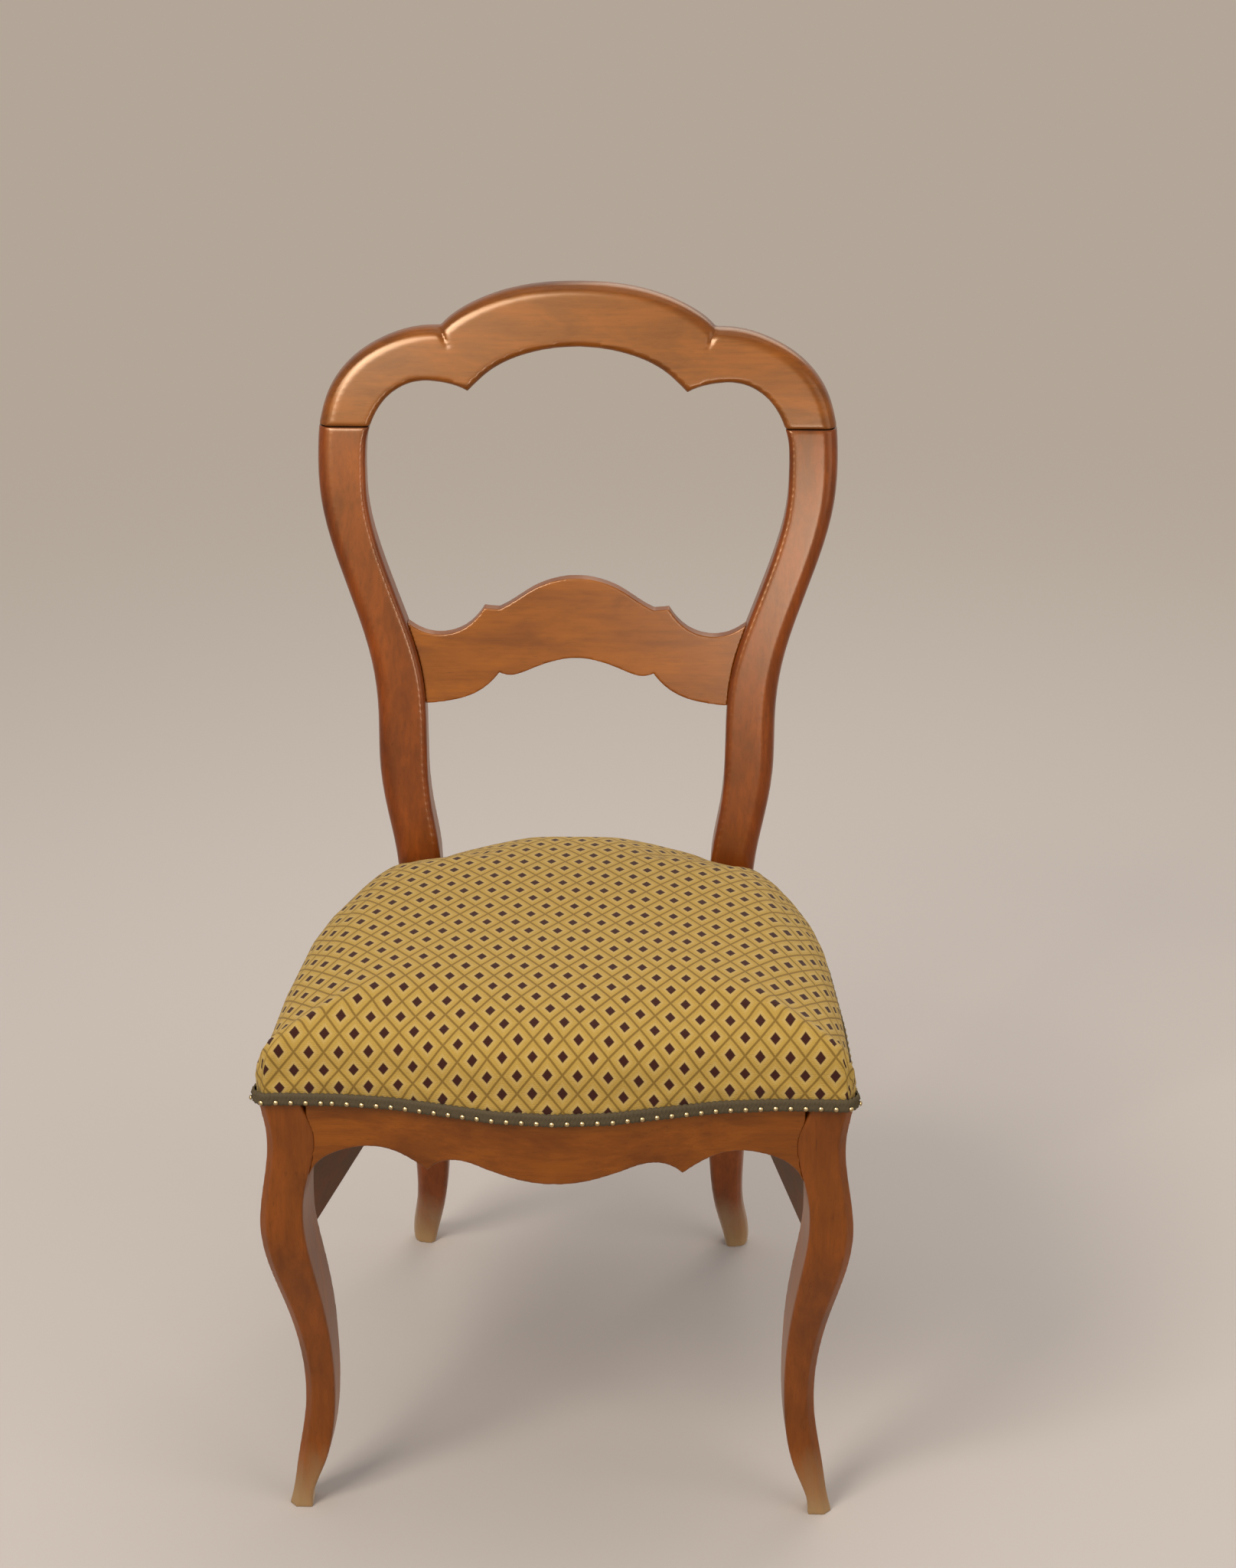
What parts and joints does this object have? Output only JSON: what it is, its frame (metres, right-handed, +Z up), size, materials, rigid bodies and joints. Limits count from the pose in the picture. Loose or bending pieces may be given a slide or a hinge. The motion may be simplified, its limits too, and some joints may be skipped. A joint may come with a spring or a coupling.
{
  "type": "balloon back chair",
  "caption": "Wooden balloon back dining chair: scalloped crest, curved splat, cabriole front legs, bowed scalloped apron and a stuffed, nailed seat in diamond-pattern fabric.",
  "frame": {"origin": "on the floor, under the middle of the chair's box", "axes": "+Z up, the chair faces -Y, +X to the right seen from the front"},
  "size_m": [0.4726, 0.5822, 0.892],
  "materials": {
    "walnut": "satin, french polished and worn",
    "glue_block_wood": "unfinished",
    "screw_steel": "dull",
    "jute_webbing": "coarse woven strap",
    "hessian_cloth": "open plain weave",
    "stuffing": "felted fibre",
    "seat_fabric": "cut chenille with a diamond lattice",
    "braid": "woven scalloped braid",
    "nail_brass": "aged, low polish"
  },
  "bodies": {
    "root": {"crest_rail": "walnut", "back_splat": "walnut", "front_seat_rail": "walnut", "front_leg_left": "walnut", "front_leg_right": "walnut", "back_post_left": "walnut", "back_post_right": "walnut", "rear_seat_rail": "walnut", "side_seat_rail_left": "walnut", "side_seat_rail_right": "walnut", "corner_block_front_left": "glue_block_wood", "corner_block_front_right": "glue_block_wood", "corner_block_rear_left": "glue_block_wood", "corner_block_rear_right": "glue_block_wood", "crest_dowels": "glue_block_wood", "corner_block_screws": "screw_steel", "webbing_lengthwise_1": "jute_webbing", "webbing_lengthwise_2": "jute_webbing", "webbing_lengthwise_3": "jute_webbing", "webbing_crosswise_1": "jute_webbing", "webbing_crosswise_2": "jute_webbing", "webbing_crosswise_3": "jute_webbing", "hessian": "hessian_cloth", "stuffing_pad": "stuffing", "seat_cover": "seat_fabric", "gimp_braid": "braid", "trim_nails": "nail_brass"}
  },
  "joints": []
}
